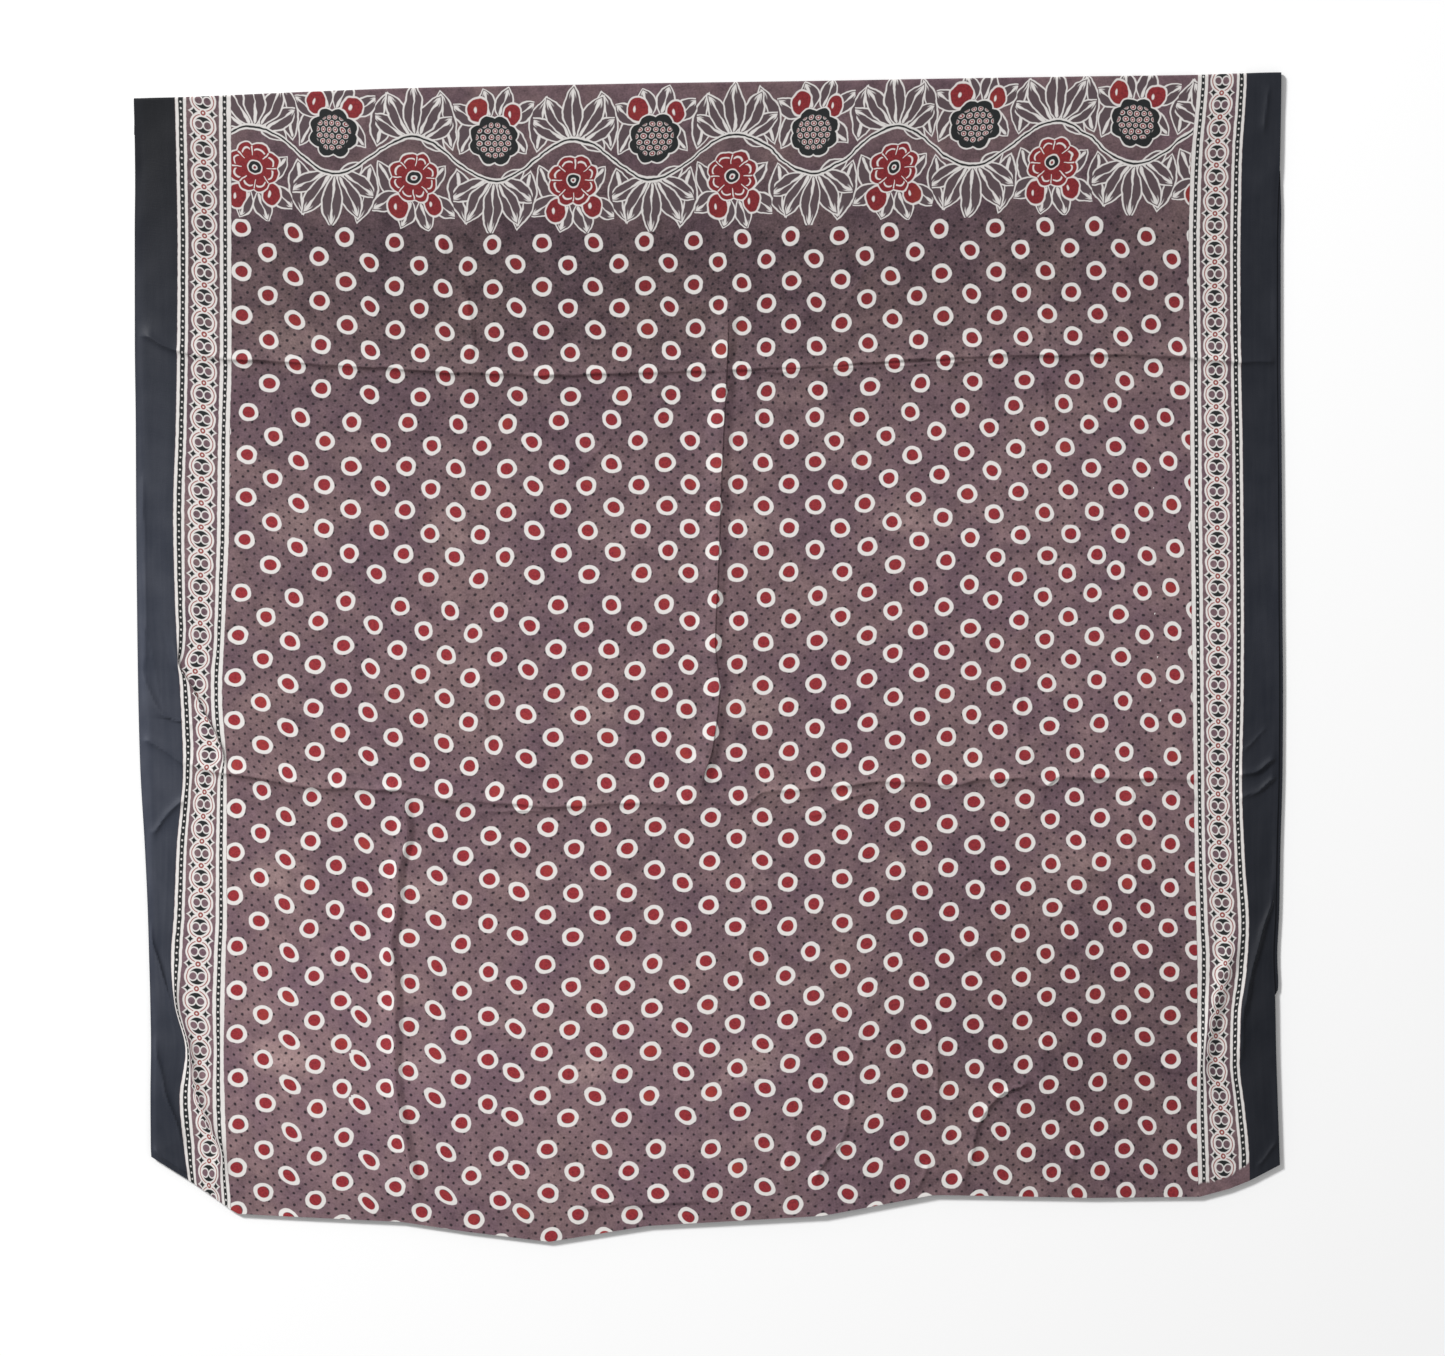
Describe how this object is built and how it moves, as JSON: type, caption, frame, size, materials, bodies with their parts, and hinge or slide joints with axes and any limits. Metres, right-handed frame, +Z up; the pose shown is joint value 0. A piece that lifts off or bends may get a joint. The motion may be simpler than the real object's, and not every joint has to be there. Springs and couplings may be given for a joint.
{
  "type": "folded sari",
  "caption": "Batik printed sari folded into a flat stack, its patterned end band turned over the top fold, with a dotted field, printed chain borders and plain dark selvages.",
  "frame": {"origin": "on the surface the sari lies on, under the middle of its bounding box", "axes": "+Z up from the surface, +Y towards the top fold, +X towards the right selvage as seen from above"},
  "size_m": [1.1506, 1.1696, 0.0151],
  "materials": {
    "field_cloth": "soft satin, mottled mauve dye with ringed dots",
    "pallu_cloth": "soft satin, printed flowers and leaves on mauve",
    "border_cloth": "soft satin, printed chain of circles between dotted rules",
    "selvage_cloth": "plain dark blue satin",
    "hidden_cloth": "soft satin, as the front"
  },
  "bodies": {
    "root": {"field": "field_cloth", "pallu_band": "pallu_cloth", "border_left": "border_cloth", "border_right": "border_cloth", "edge_band_left": "selvage_cloth", "edge_band_right": "selvage_cloth", "second_layer": "hidden_cloth", "inner_layers": "hidden_cloth"}
  },
  "joints": []
}
